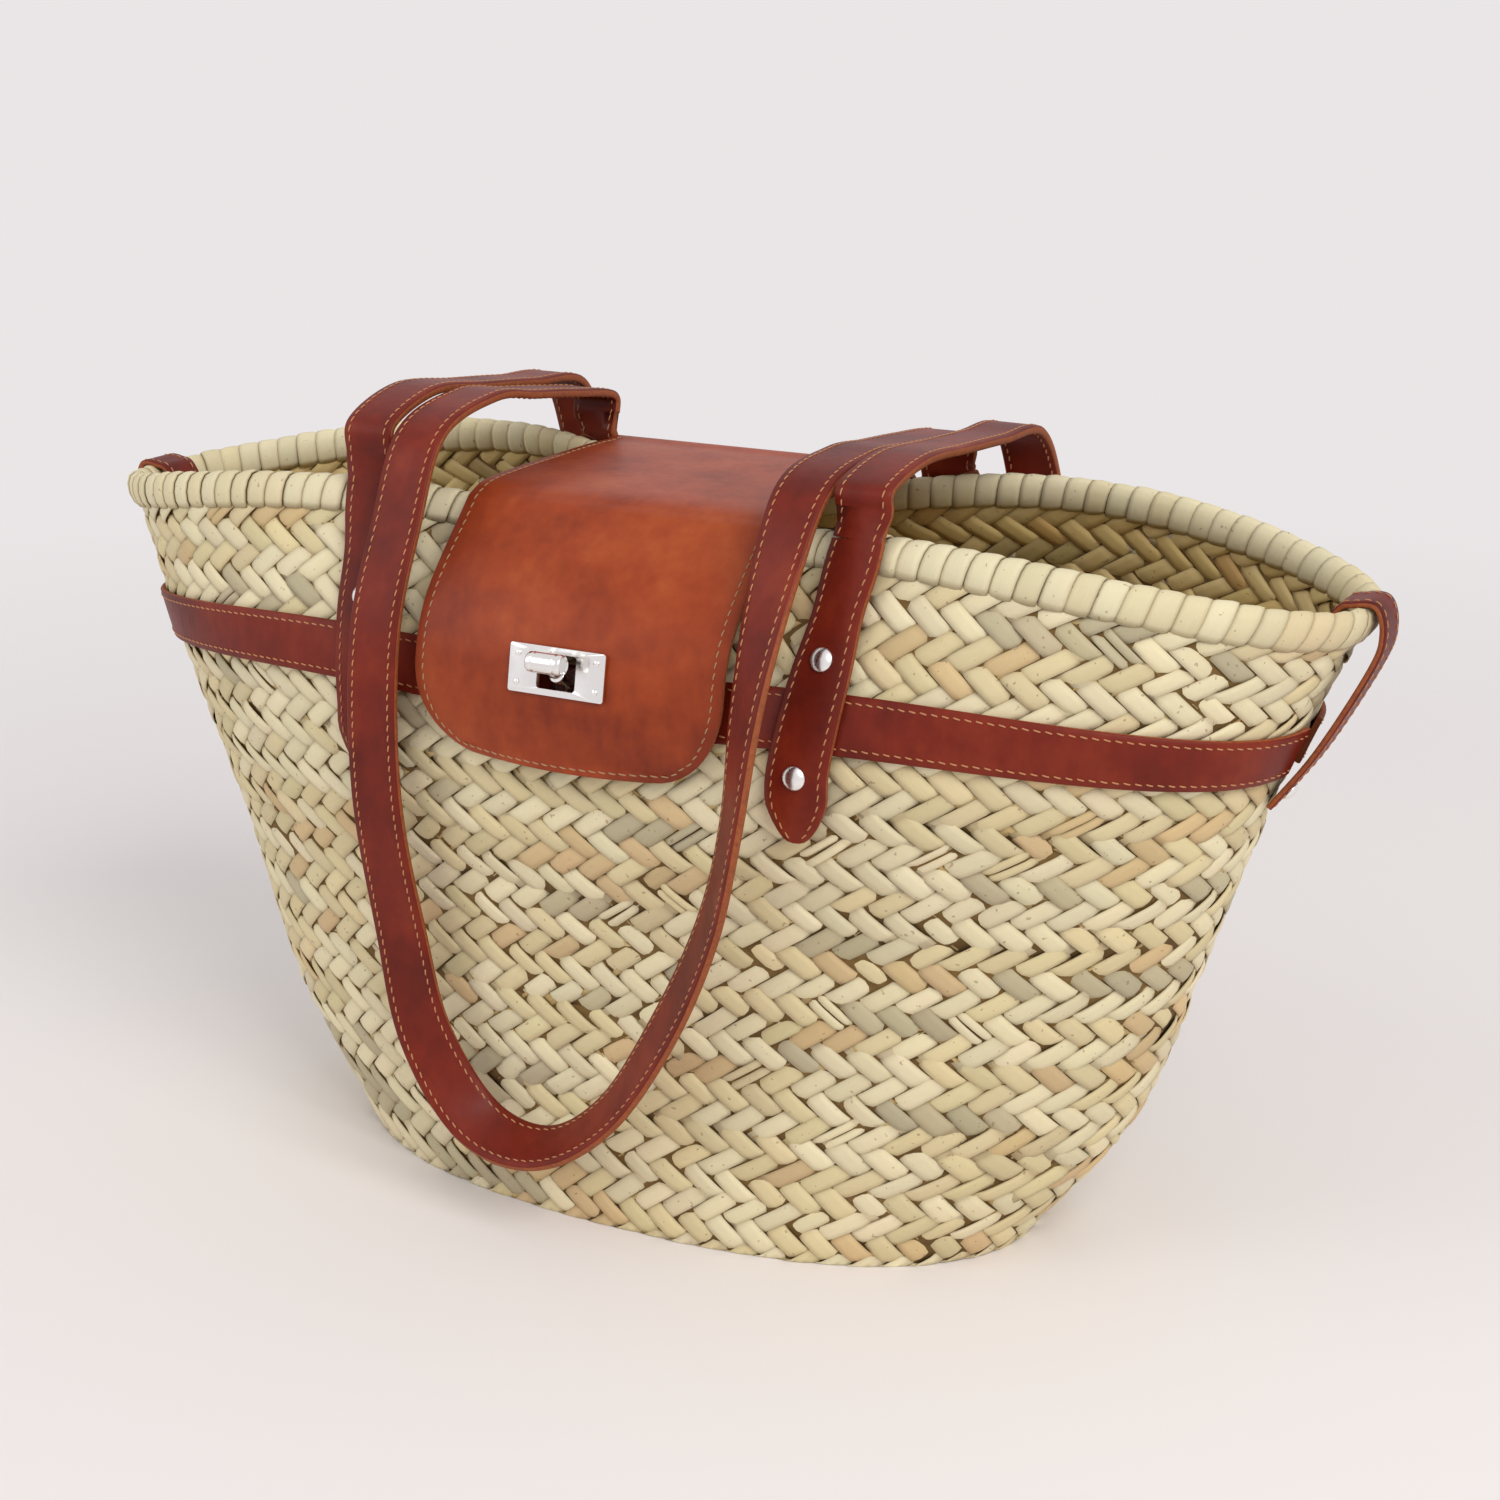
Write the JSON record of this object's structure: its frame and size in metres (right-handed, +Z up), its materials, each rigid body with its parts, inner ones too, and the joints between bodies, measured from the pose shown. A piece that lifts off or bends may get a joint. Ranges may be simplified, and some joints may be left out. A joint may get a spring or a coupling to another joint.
{
  "type": "woven market basket",
  "caption": "Flared oval basket of plaited palm leaf with a pinched mouth, leather belt, end straps, two long shoulder handles and a leather flap closed by a metal turn lock.",
  "frame": {"origin": "centre of the flat underside, on the surface that the basket stands on", "axes": "+X along the length to the right as seen from the front, -Y towards the front with the flap and lock, +Z up"},
  "size_m": [0.5966, 0.2706, 0.3365],
  "materials": {
    "palm_leaf": "matt dried leaf",
    "leather": "semi-gloss cognac leather",
    "nickel": "polished nickel plate"
  },
  "bodies": {
    "basket": {"base_plait": "palm_leaf", "belt_front": "leather", "belt_rear": "leather", "end_strap_left": "leather", "end_strap_right": "leather", "end_strap_rivet_left": "nickel", "end_strap_rivet_right": "nickel", "flap_bridge": "leather", "flap_rivet_left": "nickel", "flap_rivet_right": "nickel", "front_handle_left_rivet_lower": "nickel", "front_handle_left_rivet_upper": "nickel", "front_handle_right_rivet_lower": "nickel", "front_handle_right_rivet_upper": "nickel", "front_handle_tab_left": "leather", "front_handle_tab_right": "leather", "lock_base": "nickel", "plait_course_1": "palm_leaf", "plait_course_2": "palm_leaf", "plait_course_3": "palm_leaf", "plait_course_4": "palm_leaf", "plait_course_5_left": "palm_leaf", "plait_course_5_right": "palm_leaf", "plait_course_6_left": "palm_leaf", "plait_course_6_right": "palm_leaf", "rear_handle_left_rivet_lower": "nickel", "rear_handle_left_rivet_upper": "nickel", "rear_handle_right_rivet_lower": "nickel", "rear_handle_right_rivet_upper": "nickel", "rear_handle_tab_left": "leather", "rear_handle_tab_right": "leather", "rim_binding_left": "palm_leaf", "rim_binding_right": "palm_leaf"},
    "flap": {"flap_tongue": "leather", "lock_plate": "nickel", "plate_rivet_lb": "nickel", "plate_rivet_lt": "nickel", "plate_rivet_rb": "nickel", "plate_rivet_rt": "nickel"},
    "toggle": {"lock_toggle": "nickel"},
    "rear_handle_arches": {"rear_handle_arch_left": "leather", "rear_handle_arch_right": "leather"},
    "rear_handle_loop": {"rear_handle_loop": "leather"},
    "front_handle_arches": {"front_handle_arch_left": "leather", "front_handle_arch_right": "leather"},
    "front_handle_loop": {"front_handle_loop": "leather"}
  },
  "joints": [
    {"name": "flap_hinge", "type": "hinge", "parent": "basket", "child": "flap", "pos_m": [0, -0.06533, 0.30891], "axis": [-1, 0, 0], "range_deg": [0, 140]},
    {"name": "lock_turn", "type": "hinge", "parent": "basket", "child": "toggle", "pos_m": [0, -0.09658, 0.24172], "axis": [0, -0.8316, 0.5554], "range_deg": [0, 90]},
    {"name": "rear_handle_root", "type": "hinge", "parent": "basket", "child": "rear_handle_arches", "pos_m": [0, 0.06795, 0.32076], "axis": [-1, 0, 0], "range_deg": [0, 75]},
    {"name": "rear_handle_bend", "type": "hinge", "parent": "rear_handle_arches", "child": "rear_handle_loop", "pos_m": [0, -0.07233, 0.32987], "axis": [-1, 0, 0], "range_deg": [0, 100]},
    {"name": "front_handle_root", "type": "hinge", "parent": "basket", "child": "front_handle_arches", "pos_m": [0, -0.07485, 0.32264], "axis": [1, 0, 0], "range_deg": [0, 75]},
    {"name": "front_handle_bend", "type": "hinge", "parent": "front_handle_arches", "child": "front_handle_loop", "pos_m": [0, 0.07924, 0.33175], "axis": [1, 0, 0], "range_deg": [0, 100]}
  ],
  "couplings": [
    {"joint": "rear_handle_root", "follows": "rear_handle_bend", "ratio": 0.75},
    {"joint": "front_handle_root", "follows": "front_handle_bend", "ratio": 0.75}
  ]
}
